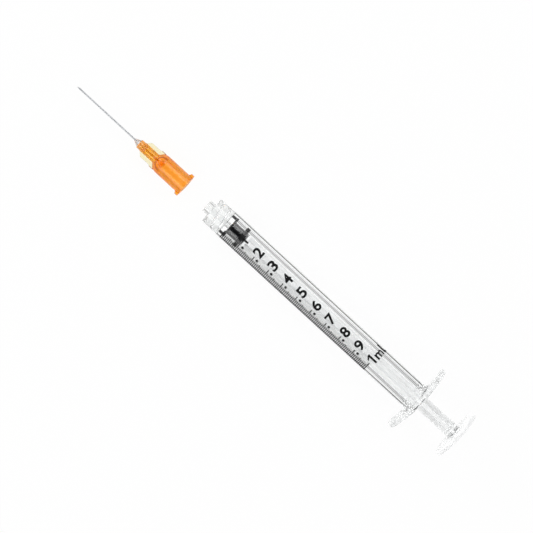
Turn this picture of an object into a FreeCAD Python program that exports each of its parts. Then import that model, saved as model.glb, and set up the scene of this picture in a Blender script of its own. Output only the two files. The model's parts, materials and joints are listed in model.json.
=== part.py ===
import FreeCAD, Part
import math
import os

# A 1 ml syringe with a lock collar, and its needle lying off the end in line with it. Millimetres.
# Every piece is first made about the X axis. X = 0 of the syringe is the closed end of the barrel's
# bore, and X = 0 of the needle is the open rear face of its hub. +X points to the needle's tip.

# Capacity and bore: together they set the length of the scale
capacity = 1000.0
bore_d = 4.70

# Barrel tube
barrel_d = 8.9
blank_length = 17.8
bore_corner = 0.2
mouth_lead = 0.45
front_lead = 0.12
ridge_inset = 4.0
ridge_height = 0.1
ridge_width = 0.8

# Front end: solid wall, male cone and the collar round it
end_wall = 1.5
collar_d = 8.58
collar_bore_d = 8.06
collar_depth = 5.7
collar_lead = 0.12
collar_rim_round = 0.08
collar_floor_round = 0.3
cone_taper = 0.06
tip_end_d = 3.97
tip_reach = 2.1
tip_round = 0.25
lumen_d = 1.2

# Finger flange: three circles joined by tangents, swept forwards to the wings' ends, with a flare at its root
flange_span = 24.7
flange_end_r = 3.8
flange_middle_r = 5.2
flange_thickness = 1.7
wing_sweep = 1.07
flange_round = 0.45
flare_r = 1.6

# Stopper, from its front face backwards
stopper_gap = 0.05
stopper_play = 0.02
front_ring = 0.7
stopper_neck = 3.4
rear_ring = 1.35
stopper_boss = 0.6
stopper_neck_d = 4.36
stopper_boss_d = 3.56
ring_round = 0.15

# Plunger rod
rod_play = 0.125
rib_thickness = 0.9
rod_showing = 13.15
front_disc = 0.8
end_disc = 0.5
end_disc_gap = 1.0
head_length = 0.9
head_d = 1.9
head_neck_length = 1.3
head_neck_d = 1.3
head_play = 0.1
head_round = 0.25
thumb_d = 16.2
thumb_thickness = 1.5
thumb_round = 0.6

# Needle hub
needle_gap = 10.5
socket_mouth_d = 4.29
socket_depth = 9.0
socket_funnel = 1.4
socket_lead = 0.15
rim_rise = 0.2
rim_thickness = 1.5
rim_round = 0.15
lug_span = 7.8
lug_width = 2.7
lug_thickness = 1.2
body_d = 6.3
body_length = 10.5
shoulder_angle = 47.0
shoulder_r = 4.6
nose_d = 2.9
nose_root_r = 0.4
nose_round = 0.12
hub_length = 18.7
fin_count = 4
fin_thickness = 0.5
fin_r = 2.72
fin_step_r = 3.08
fin_step_length = 0.8
fin_ramp = 1.35
fin_setback = 1.4
fin_round = 0.2
fin_sunk = 0.35

# Cannula and its adhesive
cannula_d = 0.51
cannula_bore_d = 0.26
cannula_showing = 25.0
cannula_play = 0.02
bevel_angle = 14.0
lancet_angle = 19.0
lancet_turn = 38.0
lancet_share = 0.5
glue_well_d = 1.7
glue_well_depth = 1.2
glue_reach = 1.9
glue_base_d = 2.4
glue_end_d = 0.66
glue_play = 0.005

# Places along the syringe
bore_r = bore_d / 2
barrel_r = barrel_d / 2
scale_length = capacity / (math.pi * bore_r ** 2)
flange_front = -(scale_length + blank_length)
barrel_rear = flange_front - flange_thickness
ridge_x = barrel_rear + ridge_inset
collar_floor = end_wall
collar_front = collar_floor + collar_depth
tip_end = collar_front + tip_reach
stopper_front = -stopper_gap
stopper_length = front_ring + stopper_neck + rear_ring + stopper_boss
stopper_rear = stopper_front - stopper_length
rod_r = bore_r - rod_play
thumb_front = barrel_rear - rod_showing
thumb_rear = thumb_front - thumb_thickness
thumb_r = thumb_d / 2
wing_centre = flange_span / 2 - flange_end_r
sweep_r = ((flange_span / 2) ** 2 + wing_sweep ** 2) / (2 * wing_sweep)
rim_r = body_d / 2 + rim_rise

# Places along the needle
drop = body_d / 2 - nose_d / 2
nose_root = body_length + drop / math.tan(math.radians(shoulder_angle))
cannula_rear = socket_depth + socket_funnel
cannula_tip = hub_length + cannula_showing

# Anything shorter than this counts as no length
edge_tolerance = 1e-6

# Passes that settle the roll at rest
roll_passes = 8

ORIGIN = FreeCAD.Vector(0, 0, 0)
X_AXIS = FreeCAD.Vector(1, 0, 0)
Y_AXIS = FreeCAD.Vector(0, 1, 0)
Z_AXIS = FreeCAD.Vector(0, 0, 1)


def cone_radius(end_diameter, distance):
    """Radius of a locking cone, at a distance from the end with the given diameter."""
    return end_diameter / 2 + cone_taper * distance / 2


def rounded_face(corners):
    """A flat face in the XY plane. A corner is (x, y), or (x, y, radius) where it is rounded."""
    points = [FreeCAD.Vector(corner[0], corner[1], 0) for corner in corners]
    bends = []
    for index, corner in enumerate(corners):
        point = points[index]
        radius = corner[2] if len(corner) > 2 else 0
        back = (points[index - 1] - point).normalize()
        ahead = (points[(index + 1) % len(points)] - point).normalize()
        half = back.getAngle(ahead) / 2
        reach = radius / math.tan(half)
        middle = point + (back + ahead).normalize() * (radius / math.sin(half) - radius) if radius else point
        bends.append((point + back * reach, middle, point + ahead * reach))
    edges = []
    for index, (start, middle, end) in enumerate(bends):
        if not start.isEqual(end, edge_tolerance):
            edges.append(Part.Arc(start, middle, end).toShape())
        following = bends[(index + 1) % len(bends)][0]
        if not end.isEqual(following, edge_tolerance):
            edges.append(Part.LineSegment(end, following).toShape())
    return Part.Face(Part.Wire(edges))


def spun(corners):
    """A solid turned about the X axis. A corner is (x, radius), or (x, radius, rounding)."""
    return rounded_face(corners).revolve(ORIGIN, X_AXIS, 360)


def across(face, start, thickness):
    """A face of the XY plane, stood across the X axis and made a plate from start to start + thickness."""
    plate = face.extrude(Z_AXIS * thickness)
    plate.Placement = FreeCAD.Placement(X_AXIS * start, FreeCAD.Rotation(Y_AXIS, Z_AXIS, X_AXIS, "XYZ"))
    return plate


def wing_outline(inset):
    """The finger flange's outline: a middle circle and two end circles, joined by tangents."""
    middle = flange_middle_r - inset
    end = flange_end_r - inset
    lean = math.acos((middle - end) / wing_centre)
    edges = []
    for side in (1, -1):
        mid = [FreeCAD.Vector(side * middle * math.cos(lean), s * middle * math.sin(lean), 0) for s in (1, -1)]
        tip = [FreeCAD.Vector(side * (wing_centre + end * math.cos(lean)), s * end * math.sin(lean), 0)
               for s in (1, -1)]
        edges.append(Part.LineSegment(mid[0], tip[0]).toShape())
        edges.append(Part.Arc(tip[0], FreeCAD.Vector(side * (wing_centre + end), 0, 0), tip[1]).toShape())
        edges.append(Part.LineSegment(tip[1], mid[1]).toShape())
        top = FreeCAD.Vector(0, side * middle, 0)
        left = FreeCAD.Vector(-middle * math.cos(lean), side * middle * math.sin(lean), 0)
        right = FreeCAD.Vector(middle * math.cos(lean), side * middle * math.sin(lean), 0)
        edges.append(Part.Arc(left, top, right).toShape())
    return Part.Face(Part.Wire(Part.__sortEdges__(edges)))


def swept_arc(behind):
    """An arc in the XY plane, this far behind the flange's front face and bent round the same line as it."""
    radius = sweep_r + behind
    points = []
    for side in (-flange_span, 0, flange_span):
        depth = math.sqrt(radius ** 2 - side ** 2)
        points.append(FreeCAD.Vector(flange_front + sweep_r - depth, side, -flange_span / 2))
    return Part.Arc(*points).toShape()


def flange_plate():
    """The finger flange: its outline through a slab that is swept forwards, with both rims rounded."""
    front = swept_arc(0)
    rear = swept_arc(flange_thickness)
    ends = [Part.makeLine(front.Vertexes[i].Point, rear.Vertexes[i].Point) for i in (0, 1)]
    slab = Part.Face(Part.Wire(Part.__sortEdges__([front, rear] + ends))).extrude(Z_AXIS * flange_span)
    prism = across(wing_outline(0), barrel_rear - wing_sweep, flange_thickness + 3 * wing_sweep)
    plate = prism.common(slab).Solids[0]
    rims = [edge for edge in plate.Edges if edge.BoundBox.YLength > edge_tolerance]
    return plate.makeFillet(flange_round, rims)


def barrel():
    """Tube, front wall, male cone with its lumen, lock collar and winged finger flange, as one moulding."""
    lumen_r = lumen_d / 2
    collar_bore_r = collar_bore_d / 2
    collar_r = collar_d / 2
    ridge_r = bore_r - ridge_height
    tube = spun([
        (tip_end, lumen_r),
        (tip_end, tip_end_d / 2, tip_round),
        (collar_floor, cone_radius(tip_end_d, tip_end - collar_floor), collar_floor_round),
        (collar_floor, collar_bore_r, collar_floor_round),
        (collar_front - collar_lead, collar_bore_r),
        (collar_front, collar_bore_r + collar_lead),
        (collar_front, collar_r, collar_rim_round),
        (collar_floor, collar_r),
        (collar_floor - front_lead, barrel_r),
        (barrel_rear, barrel_r),
        (barrel_rear, bore_r + mouth_lead),
        (barrel_rear + mouth_lead, bore_r),
        (ridge_x - ridge_width / 2, bore_r),
        (ridge_x, ridge_r),
        (ridge_x + ridge_width / 2, bore_r),
        (0, bore_r, bore_corner),
        (0, lumen_r),
    ])
    plate = flange_plate()
    flare = spun([
        (flange_front + flare_r, bore_r + mouth_lead),
        (flange_front + flare_r, barrel_r),
        (flange_front, barrel_r, flare_r),
        (flange_front, barrel_r + flare_r),
        (barrel_rear + flange_round, barrel_r + flare_r),
        (barrel_rear + flange_round, bore_r + mouth_lead),
    ])
    flare = flare.common(across(wing_outline(flange_round), barrel_rear, flange_thickness + flare_r))
    bore = Part.makeCylinder(bore_r + mouth_lead, 2 * flange_thickness + flare_r,
                             X_AXIS * (barrel_rear - flange_thickness), X_AXIS)
    return tube.fuse([plate.fuse(flare).cut(bore)]).removeSplitter()


def stopper():
    """Two sealing rings on a neck, with a pocket at the back that holds the rod's head."""
    ring_r = bore_r - stopper_play
    neck_r = stopper_neck_d / 2
    ring_back = stopper_front - front_ring
    ring_again = ring_back - stopper_neck
    boss = ring_again - rear_ring
    pocket_neck = stopper_rear + head_neck_length - head_play
    pocket_front = stopper_rear + head_neck_length + head_length + head_play
    return spun([
        (stopper_front, 0),
        (stopper_front, ring_r, ring_round),
        (ring_back, ring_r, ring_round),
        (ring_back, neck_r, ring_round),
        (ring_again, neck_r, ring_round),
        (ring_again, ring_r, ring_round),
        (boss, ring_r, ring_round),
        (boss, stopper_boss_d / 2),
        (stopper_rear, stopper_boss_d / 2, ring_round),
        (stopper_rear, head_neck_d / 2 + head_play),
        (pocket_neck, head_neck_d / 2 + head_play),
        (pocket_neck, head_d / 2 + head_play),
        (pocket_front, head_d / 2 + head_play, head_round),
        (pocket_front, 0),
    ])


def plunger_rod():
    """Head and neck for the stopper, front disc, cross-shaped shaft, end disc and round thumb rest."""
    disc_front = stopper_rear - stopper_gap
    disc_back = disc_front - front_disc
    neck_end = stopper_rear + head_neck_length
    head = spun([
        (disc_back, 0),
        (disc_back, rod_r),
        (disc_front, rod_r),
        (disc_front, head_neck_d / 2),
        (neck_end, head_neck_d / 2),
        (neck_end, head_d / 2),
        (neck_end + head_length, head_d / 2, head_round),
        (neck_end + head_length, 0),
    ])
    length = disc_back - thumb_front
    turned = Part.makeCylinder(rod_r, length, X_AXIS * thumb_front, X_AXIS)
    ribs = []
    for width, height in ((bore_d, rib_thickness), (rib_thickness, bore_d)):
        corner = FreeCAD.Vector(thumb_front, -width / 2, -height / 2)
        ribs.append(Part.makeBox(length, width, height, corner).common(turned))
    collar_x = thumb_front + end_disc_gap
    collar = Part.makeCylinder(rod_r, end_disc, X_AXIS * collar_x, X_AXIS)
    thumb = spun([
        (thumb_front, 0),
        (thumb_front, thumb_r, thumb_round),
        (thumb_rear, thumb_r, thumb_round),
        (thumb_rear, 0),
    ])
    return head.fuse(ribs + [collar, thumb]).removeSplitter()


def needle_hub():
    """Socket and rim with two lugs, body, shoulder and nose, with thin fins along nose and shoulder."""
    bore = cannula_d / 2 + cannula_play
    well_floor = hub_length - glue_well_depth
    socket_end_r = cone_radius(socket_mouth_d, -socket_depth)
    hub = spun([
        (0, socket_mouth_d / 2 + socket_lead),
        (0, rim_r, rim_round),
        (rim_thickness, rim_r, rim_round),
        (rim_thickness, body_d / 2),
        (body_length, body_d / 2, shoulder_r),
        (nose_root, nose_d / 2, nose_root_r),
        (hub_length, nose_d / 2, nose_round),
        (hub_length, glue_well_d / 2),
        (well_floor, glue_well_d / 2),
        (well_floor, bore),
        (cannula_rear, bore),
        (socket_depth, socket_end_r, bore_corner),
        (socket_lead, cone_radius(socket_mouth_d, -socket_lead)),
    ])
    blade = rounded_face([
        (socket_depth, body_d / 2 - fin_sunk),
        (nose_root - fin_step_length, fin_step_r, fin_round),
        (nose_root, fin_step_r, fin_round),
        (nose_root + fin_step_length / 2, fin_r, fin_round),
        (hub_length - fin_setback - fin_ramp, fin_r, fin_round),
        (hub_length - fin_setback, nose_d / 2 + fin_sunk, fin_round),
        (hub_length - fin_setback, nose_d / 2 - fin_sunk),
        (nose_root, nose_d / 2 - fin_sunk),
        (socket_depth, body_d / 2 - 2 * fin_sunk),
    ]).extrude(Z_AXIS * fin_thickness)
    blade.translate(Z_AXIS * (-fin_thickness / 2))
    fins = []
    for index in range(fin_count):
        fin = blade.copy()
        fin.rotate(ORIGIN, X_AXIS, 360 * index / fin_count)
        fins.append(fin)
    lug_round = Part.makeCylinder(lug_span / 2, lug_thickness, ORIGIN, X_AXIS)
    lug_strip = Part.makeBox(lug_thickness, lug_span, lug_width, FreeCAD.Vector(0, -lug_span / 2, -lug_width / 2))
    lug_root = Part.makeCylinder((socket_mouth_d / 2 + rim_r) / 2, lug_thickness, ORIGIN, X_AXIS)
    lugs = lug_round.common(lug_strip).cut(lug_root)
    return hub.fuse(fins + lugs.Solids).removeSplitter()


def needle_cannula():
    """Steel tube. One long bevel and two steeper facets beside it leave a lancet point at the bottom."""
    length = cannula_tip - cannula_rear
    outer = cannula_d / 2
    start = X_AXIS * cannula_rear
    tube = Part.makeCylinder(outer, length, start, X_AXIS)
    tube = tube.cut(Part.makeCylinder(cannula_bore_d / 2, length, start, X_AXIS))
    bevel_length = cannula_d / math.tan(math.radians(bevel_angle))
    point = FreeCAD.Vector(cannula_tip, 0, -outer)
    for angle, turn, reach in (
        (bevel_angle, 0, 0),
        (lancet_angle, lancet_turn, lancet_share),
        (lancet_angle, -lancet_turn, lancet_share),
    ):
        size = 2 * bevel_length
        block = Part.makeBox(2 * size, 2 * size, size, FreeCAD.Vector(-size, -size, 0))
        block.rotate(ORIGIN, Y_AXIS, angle)
        block.rotate(ORIGIN, X_AXIS, turn)
        block.translate(point + Z_AXIS * (reach * outer * (1 - math.cos(math.radians(turn)))))
        tube = tube.cut(block)
    return tube


def hub_adhesive():
    """Clear bead that fills the well in the nose and climbs the cannula as a short cone."""
    inner = cannula_d / 2 + glue_play
    floor = hub_length - glue_well_depth + glue_play
    well_r = glue_well_d / 2 - glue_play
    lip = hub_length + glue_play
    return spun([
        (floor, inner),
        (floor, well_r),
        (lip, well_r),
        (lip, glue_base_d / 2),
        (hub_length + glue_reach, glue_end_d / 2),
        (hub_length + glue_reach, inner),
    ])


def rest_tilt():
    """Radians that the nose points down by, with the collar's rim and the thumb rest's rim on the floor."""
    run = (collar_front - collar_rim_round) - (thumb_front - thumb_round)
    rise = (thumb_r - thumb_round) - (collar_d / 2 - collar_rim_round)
    return math.atan2(rise, run) + math.asin((thumb_round - collar_rim_round) / math.hypot(run, rise))


def rest_roll(tilt):
    """Radians that the barrel is turned by, until the end of one wing meets that floor too.

    The wing is swept forwards where it meets the floor, and that place moves with the roll: a few passes settle it.
    """
    floor = -(collar_front - collar_rim_round) * math.sin(tilt)
    floor -= (collar_d / 2 - collar_rim_round) * math.cos(tilt) + collar_rim_round
    edge_x = flange_front - flange_round
    roll = 0.0
    for _ in range(roll_passes):
        reach = wing_centre + flange_end_r * math.sin(roll)
        swept_x = edge_x + sweep_r - math.sqrt(sweep_r ** 2 - reach ** 2)
        depth = -(floor + flange_round + swept_x * math.sin(tilt)) / math.cos(tilt)
        roll = math.asin((depth - (flange_end_r - flange_round)) / wing_centre)
    return roll


tilt_angle = rest_tilt()
roll_angle = rest_roll(tilt_angle)
nose_down = FreeCAD.Rotation(Y_AXIS, math.degrees(tilt_angle))
rolled = FreeCAD.Rotation(X_AXIS, -math.degrees(roll_angle))
needle_place = X_AXIS * (collar_front + needle_gap)

# How each piece lies: the barrel rolled on its wing, the needle off the end, and all of it nose down
resting = {
    "barrel": (barrel(), ORIGIN, rolled),
    "stopper": (stopper(), ORIGIN, FreeCAD.Rotation()),
    "plunger_rod": (plunger_rod(), ORIGIN, FreeCAD.Rotation()),
    "needle_hub": (needle_hub(), needle_place, FreeCAD.Rotation()),
    "needle_cannula": (needle_cannula(), needle_place, FreeCAD.Rotation()),
    "hub_adhesive": (hub_adhesive(), needle_place, FreeCAD.Rotation()),
}
pieces = {}
for name, (shape, place, turn) in resting.items():
    lying = FreeCAD.Placement(ORIGIN, nose_down) * FreeCAD.Placement(place, turn)
    shape.Placement = lying * shape.Placement
    pieces[name] = shape

# The origin is on the floor, under the middle of the whole object
box = Part.makeCompound(list(pieces.values())).optimalBoundingBox(False, False)
shift = -FreeCAD.Vector(box.Center.x, box.Center.y, box.ZMin)
os.makedirs("parts", exist_ok=True)
for name, shape in pieces.items():
    shape.translate(shift)
    shape.exportStep("parts/" + name + ".step")
    print(name, "solids", len(shape.Solids), "valid", shape.isValid(), "volume", round(shape.Volume, 3))
print("tilt", round(math.degrees(tilt_angle), 3), "roll", round(math.degrees(roll_angle), 3), "box", box)
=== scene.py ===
import json
import math

import bmesh
import bpy
import numpy as np
from bpy.props import FloatProperty, FloatVectorProperty, IntProperty, PointerProperty
from bpy.types import Operator, Panel, PropertyGroup
from mathutils import Matrix


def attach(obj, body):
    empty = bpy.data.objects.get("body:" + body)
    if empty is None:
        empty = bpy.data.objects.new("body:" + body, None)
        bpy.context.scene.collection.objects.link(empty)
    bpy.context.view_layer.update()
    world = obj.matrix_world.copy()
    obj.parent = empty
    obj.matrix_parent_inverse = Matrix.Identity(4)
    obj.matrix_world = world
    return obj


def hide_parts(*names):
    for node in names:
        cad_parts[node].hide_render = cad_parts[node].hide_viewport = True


bl_info = {
    "name": "Syringe with needle",
    "version": (1, 0, 0),
    "blender": (4, 5, 0),
    "location": "View3D > Sidebar > Syringe",
    "description": "Makes a 1 ml lock syringe, its printed scale and its needle around the packed frame",
    "category": "Add Mesh",
}

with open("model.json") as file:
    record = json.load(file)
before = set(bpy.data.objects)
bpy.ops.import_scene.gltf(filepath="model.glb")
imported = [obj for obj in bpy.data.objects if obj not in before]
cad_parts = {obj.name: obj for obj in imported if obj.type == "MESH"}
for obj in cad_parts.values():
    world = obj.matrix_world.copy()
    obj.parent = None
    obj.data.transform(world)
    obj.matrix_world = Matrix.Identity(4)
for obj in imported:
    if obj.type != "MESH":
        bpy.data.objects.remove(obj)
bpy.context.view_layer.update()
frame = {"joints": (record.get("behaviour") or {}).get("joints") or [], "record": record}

MM = 0.001
DEGREE = math.pi / 180


# How the pieces lie, read from the frame. Each is shaped about its own X axis, +X to the needle's point,
# with X = 0 at the closed end of the barrel's bore, or at the open rear face of the needle's hub.
def lying_frames():
    """Forward, aside and up in the row frame, the last two also rolled on a wing, the roll and the mounts."""
    joints = {joint["name"]: joint for joint in frame["joints"]}
    mounts = {mount["name"]: np.array(mount["pos_m"]) for mount in frame["record"]["mounts"]}
    forward = np.array(joints["needle_slide"]["axis"])
    side = np.array([0.0, 1.0, 0.0])
    up = np.cross(forward, side)
    wing = mounts["finger_face_low"] - mounts["thumb_face"]
    roll = -math.atan2(wing @ up, wing @ side)
    rolled_side = math.cos(roll) * side - math.sin(roll) * up
    rolled_up = math.sin(roll) * side + math.cos(roll) * up
    return forward, side, up, rolled_side, rolled_up, roll, mounts


FORWARD, SIDE, UP, ROLLED_SIDE, ROLLED_UP, ROLL, MOUNTS = lying_frames()


def size(name, millimetres, description):
    """A length that a user may change, given in millimetres and kept in metres."""
    return FloatProperty(name=name, description=description, default=millimetres * MM, min=0.0,
                         unit="LENGTH", subtype="DISTANCE", precision=5)


def amount(name, value, description, **options):
    """A plain number that a user may change, from 0 up unless the options say otherwise."""
    return FloatProperty(name=name, description=description, default=value, **{"min": 0.0, **options})


def tilt(name, degrees, description):
    """An angle that a user may change, given in degrees and kept in radians."""
    return FloatProperty(name=name, description=description, default=degrees * DEGREE,
                         unit="ROTATION", subtype="ANGLE")


def linear(colour):
    """A sRGB hex colour as linear red, green, blue."""
    channels = [int(colour[i:i + 2], 16) / 255 for i in (1, 3, 5)]
    return tuple(c / 12.92 if c <= 0.04045 else ((c + 0.055) / 1.055) ** 2.4 for c in channels)


def tint(name, colour, description):
    """A colour that a user may change, given as sRGB hex."""
    return FloatVectorProperty(name=name, description=description, default=linear(colour), size=3,
                               min=0.0, max=1.0, subtype="COLOR")


class BarrelSettings(PropertyGroup):
    bore: size("Bore", 4.70, "Inner diameter of the barrel")
    outside: size("Outside", 8.9, "Outer diameter of the barrel")
    scale_length: size("Scale", 57.639, "Length of the printed scale, from 0 to 1 ml")
    past_scale: size("Past the scale", 17.8, "From the end of the scale to the flange's front face")
    end_wall: size("End wall", 1.5, "Thickness of the wall between bore and collar")
    collar_outside: size("Collar", 8.58, "Outer diameter of the lock collar")
    collar_bore: size("Collar bore", 8.06, "Diameter at the root of the collar's thread")
    collar_depth: size("Collar depth", 5.7, "Depth of the collar round the cone")
    tip_end: size("Cone end", 3.97, "Diameter of the 6 percent cone at its end")
    tip_reach: size("Cone reach", 2.1, "How far the cone stands out of the collar")
    lumen: size("Lumen", 1.2, "Diameter of the hole through the cone")
    flange_span: size("Flange span", 24.7, "From wing end to wing end")
    flange_end_r: size("Wing end radius", 3.8, "Radius of a wing's round end")
    flange_middle_r: size("Flange middle radius", 5.2, "Radius of the flange's narrow sides")
    flange_thickness: size("Flange thickness", 1.7, "Thickness of the finger flange")
    flange_round: size("Flange rounding", 0.45, "Rounding of the flange's rims")
    wing_sweep: size("Wing sweep", 1.07, "How far forward a wing's end is swept")
    flare_r: size("Flare", 1.6, "Radius of the flare where the tube meets the flange")
    thread_pitch: size("Thread pitch", 2.5, "From one crest of the lock thread to the next")
    thread_height: size("Thread height", 0.45, "How far a crest stands into the collar's bore")
    thread_starts: IntProperty(name="Thread starts", description="Helices side by side in the lock thread",
                               default=2, min=1, max=4)
    colour: tint("Colour", "#FBFCFC", "Tint of the clear polypropylene")


class StopperSettings(PropertyGroup):
    press: size("Press", 0.01, "How far a ring is pressed against the bore's wall")
    gap: size("Gap", 0.05, "Gap at the closed end of the bore, and between stopper and rod")
    front_ring: size("Front ring", 0.7, "Width of the front sealing ring")
    neck: size("Neck", 3.4, "Length of the neck between the rings")
    rear_ring: size("Rear ring", 1.35, "Width of the rear sealing ring")
    boss: size("Boss", 0.6, "Length of the boss behind the rear ring")
    neck_d: size("Neck diameter", 4.36, "Diameter of the neck")
    boss_d: size("Boss diameter", 3.56, "Diameter of the boss")
    colour: tint("Colour", "#121214", "Colour of the rubber")


class RodSettings(PropertyGroup):
    play: size("Play", 0.125, "Radial gap between the rod and the bore")
    rib: size("Rib", 0.9, "Thickness of the ribs")
    showing: size("Showing", 13.15, "Length between the flange and the thumb rest")
    front_disc: size("Front disc", 0.8, "Thickness of the disc behind the stopper")
    end_disc: size("End disc", 0.5, "Thickness of the small disc before the thumb rest")
    end_disc_gap: size("End disc gap", 1.0, "From the thumb rest to the small disc")
    thumb_d: size("Thumb rest", 16.2, "Diameter of the thumb rest")
    thumb_thickness: size("Thumb rest thickness", 1.5, "Thickness of the thumb rest")
    thumb_round: size("Thumb rest rounding", 0.6, "Rounding of the thumb rest's rims")
    colour: tint("Colour", "#F7F8F8", "Colour of the translucent white polypropylene")


class NeedleSettings(PropertyGroup):
    gap: size("Gap", 10.5, "From the collar to the hub, along the axis")
    mouth: size("Socket mouth", 4.29, "Diameter of the 6 percent socket at its mouth")
    socket_depth: size("Socket depth", 9.0, "Depth of the socket")
    socket_funnel: size("Socket funnel", 1.4, "Length of the funnel at the socket's bottom")
    rim_d: size("Rim", 6.7, "Diameter of the rear rim")
    rim_thickness: size("Rim thickness", 1.5, "Thickness of the rear rim")
    lug_span: size("Lug span", 7.8, "Across the two locking lugs")
    lug_width: size("Lug width", 2.7, "Width of a lug")
    lug_thickness: size("Lug thickness", 1.2, "Thickness of a lug")
    body_d: size("Body", 6.3, "Diameter of the hub's body")
    body_length: size("Body length", 10.5, "From the rear face to the shoulder's corner")
    shoulder_r: size("Shoulder radius", 4.6, "Rounding of the shoulder's corner")
    nose_d: size("Nose", 2.9, "Diameter of the hub's nose")
    length: size("Hub length", 18.7, "Length of the hub")
    fin_thickness: size("Fin thickness", 0.5, "Thickness of a fin")
    fin_r: size("Fin radius", 2.72, "From the axis to a fin's edge, beside the nose")
    fin_step_r: size("Fin step radius", 3.08, "From the axis to a fin's edge, beside the shoulder")
    cannula_d: size("Cannula", 0.51, "Outer diameter of the steel tube")
    cannula_bore: size("Cannula bore", 0.26, "Inner diameter of the steel tube")
    showing: size("Cannula showing", 25.0, "Length of the tube in front of the hub")
    well_d: size("Glue well", 1.7, "Diameter of the well in the nose")
    well_depth: size("Glue well depth", 1.2, "Depth of the well in the nose")
    glue_reach: size("Glue reach", 1.9, "How far the adhesive climbs the tube")
    glue_base_d: size("Glue base", 2.4, "Diameter of the adhesive on the nose")
    glue_end_d: size("Glue end", 0.66, "Diameter of the adhesive at its end")
    colour: tint("Colour", "#FF940A", "Colour of the orange polypropylene where it scatters light")


class PrintSettings(PropertyGroup):
    line: size("Line", 0.35, "Width of a graduation line")
    film: size("Film", 0.012, "Thickness of the ink")
    digit_height: size("Digit height", 3.36, "Height of a digit")
    digit_width: size("Digit width", 2.3, "Width of a digit")
    dot: size("Dot", 0.86, "Diameter of a decimal dot")
    colour: tint("Colour", "#0E0E0F", "Colour of the ink")


class StageSettings(PropertyGroup):
    scale: amount("Scale", 3.37, "Photograph pixels per millimetre at the syringe's axis", min=0.1)
    perspective: amount("Perspective", 1900.0, "Focal length in photograph pixels", min=100.0,
                        subtype="PIXEL")
    slant: tilt("Slant", 42.6, "Angle of the syringe's axis below the picture's horizontal")
    side_lamp: amount("Side lamps", 2.0, "Radiance of the two lamps beside the syringe")
    front_lamp: amount("Front lamp", 2.9, "Radiance of the lamp off the needle's end")
    rear_lamp: amount("Rear lamp", 1.2, "Radiance of the lamp behind the thumb rest")
    fill: amount("Fill", 0.46, "Radiance of the surroundings")
    # Glow of the light table's painted dark rings, which show through clear plastic as dark edge lines.
    ring: amount("Ring", 0.03, "Radiance of the light table's darker rings", max=1.0)
    colour: tint("Floor", "#F4F4F4", "Colour of the floor")


# Mesh code

SOFT_EDGE = 0.03 * MM
SHADING_REST = 0.02 * MM
ARC_STEPS = 5
ARC_SHARE = 0.45
ROW_SPACING = 1 * MM


def rounded_run(corners, spacing=ROW_SPACING, steps=ARC_STEPS):
    """Rows of (x, radius) through the corners, as straight runs joined by arcs.

    At a corner the unit directions back and ahead open by an angle 2h. The arc of radius r starts r / tan(h)
    before the corner, and turns about the point r / sin(h) along their bisector. It takes no more than
    ARC_SHARE of a side, and a corner without a radius gets a soft edge. Each run gets a row close to both of
    its ends, so that smooth shading turns only in the arcs, and rows between them no further apart than the
    spacing.
    """
    points = np.array([corner[:2] for corner in corners], float)
    rows = [points[0]]
    for i in range(1, len(corners) - 1):
        radius = corners[i][2] if len(corners[i]) > 2 else SOFT_EDGE
        back, ahead = points[i - 1] - points[i], points[i + 1] - points[i]
        shortest = min(np.linalg.norm(back), np.linalg.norm(ahead))
        back, ahead = back / np.linalg.norm(back), ahead / np.linalg.norm(ahead)
        half = math.acos(np.clip(back @ ahead, -1, 1)) / 2
        reach = min(radius / math.tan(half), ARC_SHARE * shortest)
        radius = reach * math.tan(half)
        centre = points[i] + (back + ahead) / np.linalg.norm(back + ahead) * radius / math.sin(half)
        start = points[i] + back * reach - centre
        turn = math.copysign(math.pi - 2 * half, ahead[0] * back[1] - ahead[1] * back[0])
        angles = math.atan2(start[1], start[0]) + turn * np.linspace(0, 1, steps + 1)
        rows.extend(centre + radius * np.column_stack((np.cos(angles), np.sin(angles))))
    rows.append(points[-1])
    rows = np.array(rows)
    filled = [rows[:1]]
    for here, there in zip(rows[:-1], rows[1:]):
        length = np.linalg.norm(there - here)
        if length > 5 * SHADING_REST:
            inner = SHADING_REST / length
            count = max(1, math.ceil(length / spacing))
            shares = np.concatenate(([inner], np.linspace(0, 1, count + 1)[1:-1], [1 - inner]))
            filled.append(here + shares[:, None] * (there - here))
        filled.append(there[None])
    return np.concatenate(filled)


def even_turn(count):
    """Angles of one turn about the X axis, from +Y towards +Z."""
    return np.arange(count) * (2 * math.pi / count)


def about_axis(x, radius, angles):
    """Points (x, radius cos(angle), radius sin(angle)), for rows down and angles across."""
    radius = np.broadcast_to(radius, np.broadcast_shapes(np.shape(x), np.shape(radius), (1, len(angles))))
    x = np.broadcast_to(x, radius.shape)
    return np.stack((x, radius * np.cos(angles), radius * np.sin(angles)), axis=-1)


def lathed(corners, angles, spacing=ROW_SPACING):
    """The surface of revolution of a rounded run."""
    rows = rounded_run(corners, spacing)
    return about_axis(rows[:, :1], rows[:, 1:], angles)


def closed_grid(points):
    """Vertices and quads of a grid that closes on itself both ways, like a ring's skin."""
    rows, columns = points.shape[:2]
    index = np.arange(rows * columns).reshape(rows, columns)
    down, across = np.roll(index, -1, axis=0), np.roll(index, -1, axis=1)
    both = np.roll(down, -1, axis=1)
    return points.reshape(-1, 3), np.stack((index, across, both, down), axis=-1).reshape(-1, 4).tolist()


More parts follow.
